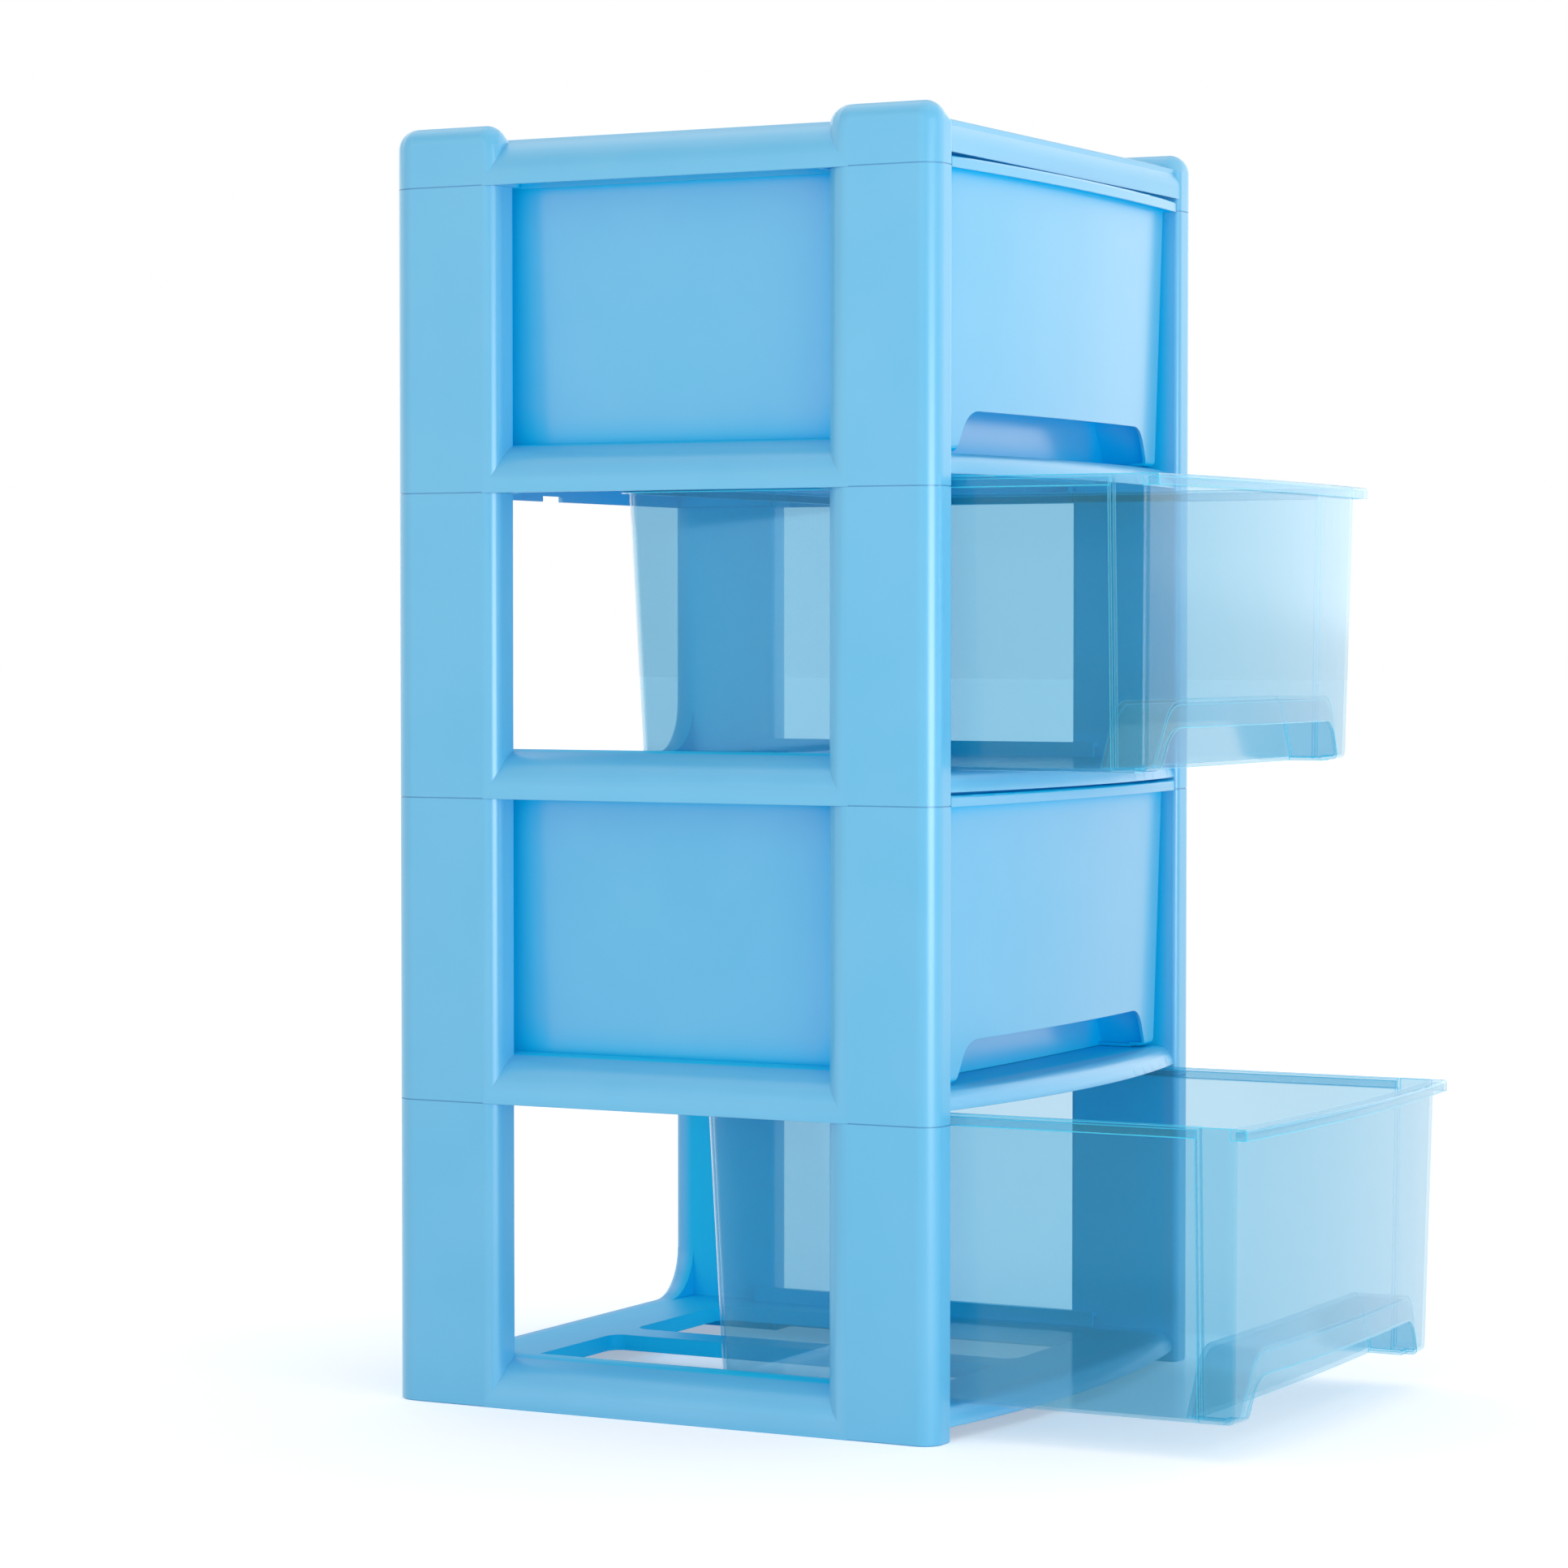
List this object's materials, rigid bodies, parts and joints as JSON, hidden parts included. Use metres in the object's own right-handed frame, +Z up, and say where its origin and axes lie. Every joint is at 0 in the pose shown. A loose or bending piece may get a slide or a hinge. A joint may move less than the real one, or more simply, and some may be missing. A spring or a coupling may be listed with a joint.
{
  "type": "plastic drawer tower",
  "caption": "Free-standing tower of stacked plastic tier frames under a crown, with tapered drawers that slide out at the front, opaque and clear by turns.",
  "frame": {"origin": "on the ground, in the middle of the four posts", "axes": "+Z up; -Y towards the front, where the drawers pull out; +X to the right seen from the front"},
  "size_m": [0.39, 0.5775, 0.798],
  "materials": {
    "frame_plastic": "satin light blue polypropylene",
    "drawer_plastic": "glossy light blue polypropylene",
    "clear_plastic": "clear plastic tinted light blue"
  },
  "bodies": {
    "tower": {"tier_frame_1": "frame_plastic", "tier_frame_2": "frame_plastic", "tier_frame_3": "frame_plastic", "tier_frame_4": "frame_plastic", "crown": "frame_plastic"},
    "drawer_1": {"drawer_1": "clear_plastic"},
    "drawer_2": {"drawer_2": "drawer_plastic"},
    "drawer_3": {"drawer_3": "clear_plastic"},
    "drawer_4": {"drawer_4": "drawer_plastic"}
  },
  "joints": [
    {"name": "drawer_1_slide", "type": "slide", "parent": "tower", "child": "drawer_1", "axis": [0, -1, 0], "range_m": [-0.19, 0.09]},
    {"name": "drawer_2_slide", "type": "slide", "parent": "tower", "child": "drawer_2", "axis": [0, -1, 0], "range_m": [0, 0.28]},
    {"name": "drawer_3_slide", "type": "slide", "parent": "tower", "child": "drawer_3", "axis": [0, -1, 0], "range_m": [-0.134, 0.146]},
    {"name": "drawer_4_slide", "type": "slide", "parent": "tower", "child": "drawer_4", "axis": [0, -1, 0], "range_m": [0, 0.28]}
  ]
}
